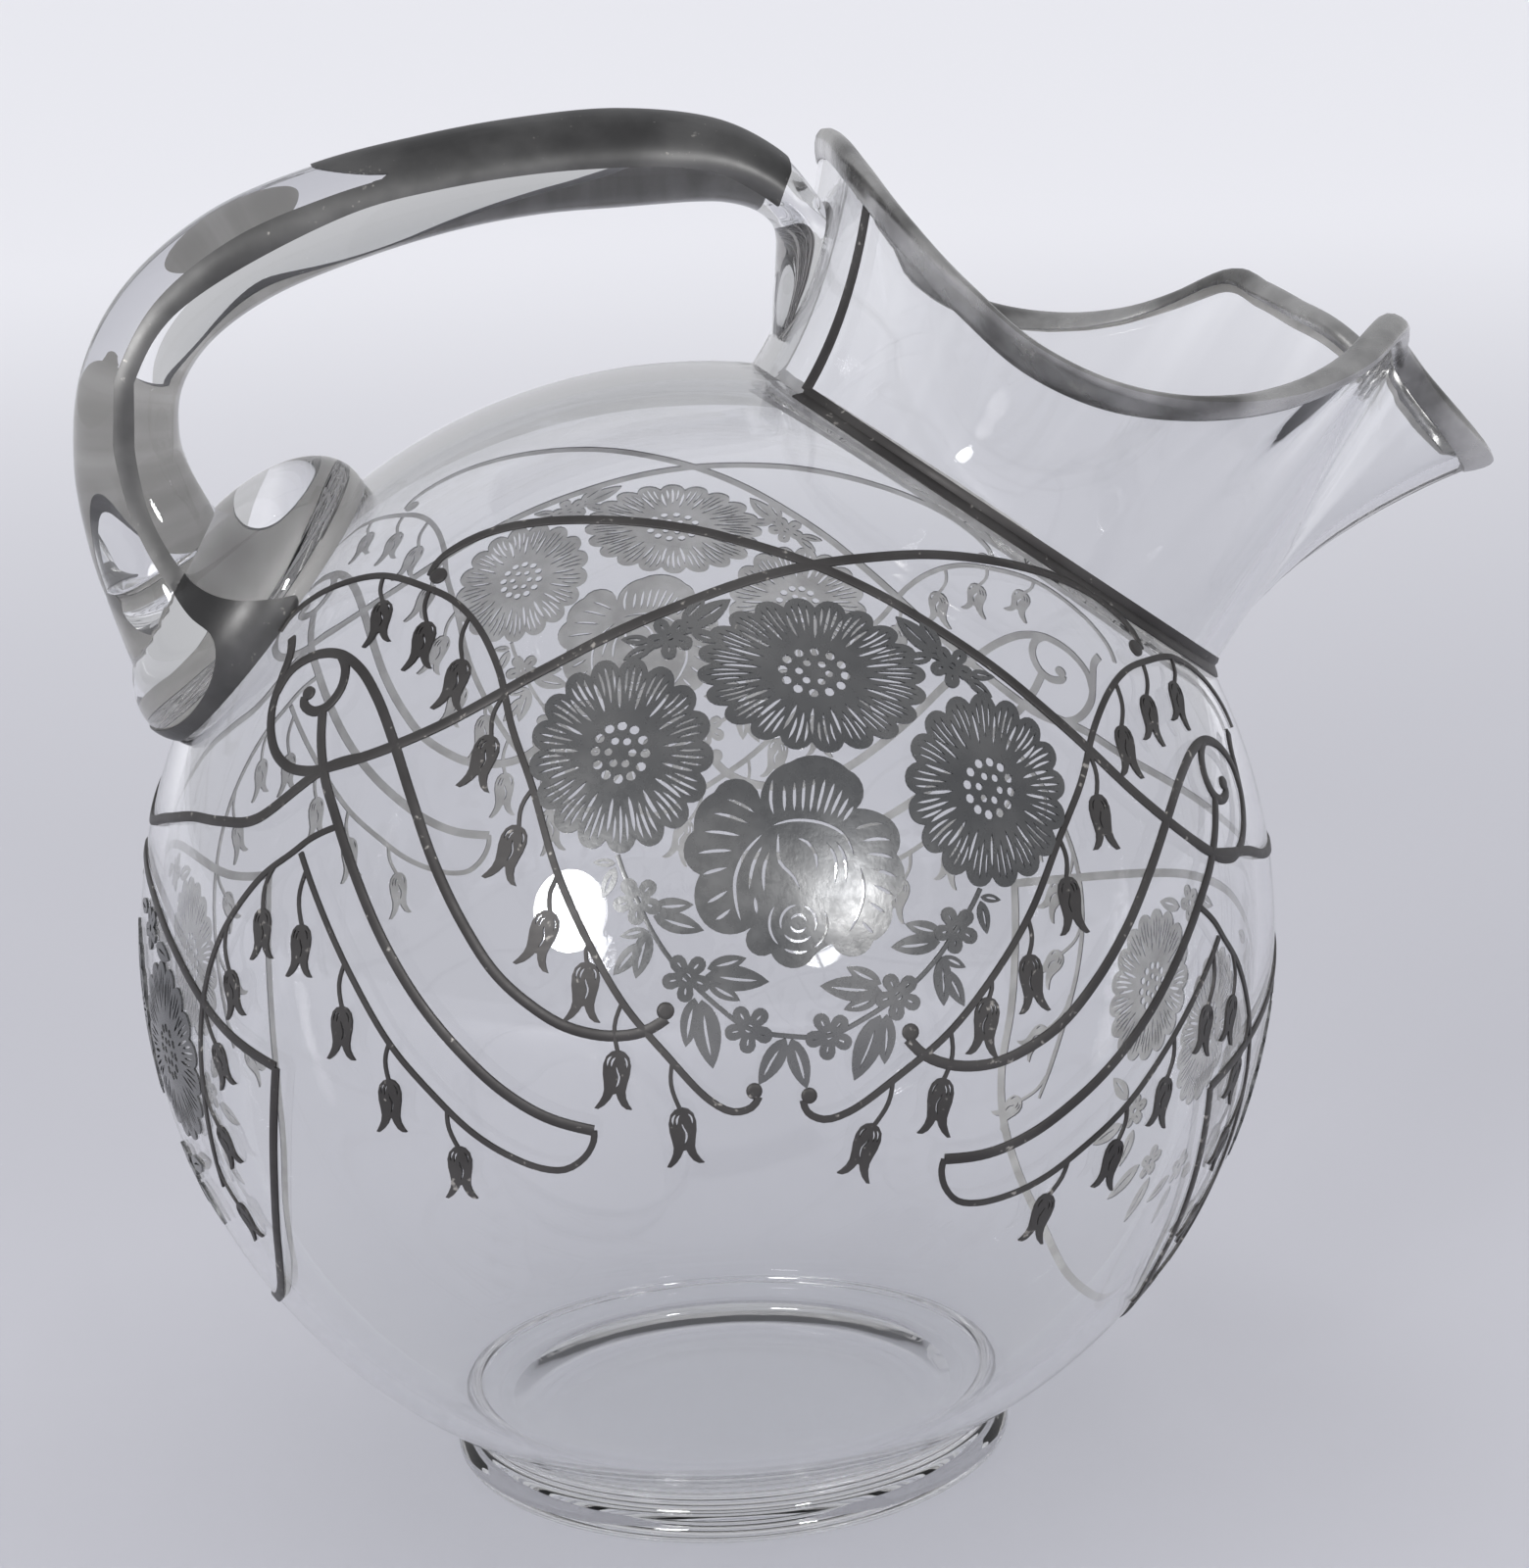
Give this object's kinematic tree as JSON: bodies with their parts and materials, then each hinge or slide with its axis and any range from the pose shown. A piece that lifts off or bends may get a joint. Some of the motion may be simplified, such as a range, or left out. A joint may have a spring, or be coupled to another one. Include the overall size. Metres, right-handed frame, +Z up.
{
  "type": "glass jug",
  "caption": "Ball-shaped clear glass jug with a pinched ice lip, a solid loop handle and a pierced silver overlay of flowers, bellflower sprays and scrolled straps.",
  "frame": {"origin": "middle of the foot on the table plane", "axes": "+Z up, +X towards the spout, handle on -X, the two side panels face -Y and +Y"},
  "size_m": [0.2383, 0.1908, 0.2291],
  "materials": {
    "clear_glass": "clear, fire polished",
    "tarnished_silver": "dull brushed silver with dark tarnish and worn bright edges"
  },
  "bodies": {
    "root": {"glass_body": "clear_glass", "glass_foot": "clear_glass", "glass_handle": "clear_glass", "rim_band": "tarnished_silver", "collar_band": "tarnished_silver", "neck_line_left": "tarnished_silver", "neck_line_right": "tarnished_silver", "handle_strap": "tarnished_silver", "crossing_arcs_right": "tarnished_silver", "crossing_arcs_left": "tarnished_silver", "scroll_straps_right": "tarnished_silver", "scroll_straps_left": "tarnished_silver", "flower_stems_right": "tarnished_silver", "flower_stems_left": "tarnished_silver", "bellflowers_right": "tarnished_silver", "bellflowers_left": "tarnished_silver", "daisies_right": "tarnished_silver", "daisies_left": "tarnished_silver", "centre_bloom_right": "tarnished_silver", "centre_bloom_left": "tarnished_silver", "garland_right": "tarnished_silver", "garland_left": "tarnished_silver", "back_panel_frame": "tarnished_silver", "back_panel_flowers": "tarnished_silver", "front_panel_frame": "tarnished_silver", "front_panel_flowers": "tarnished_silver"}
  },
  "joints": []
}
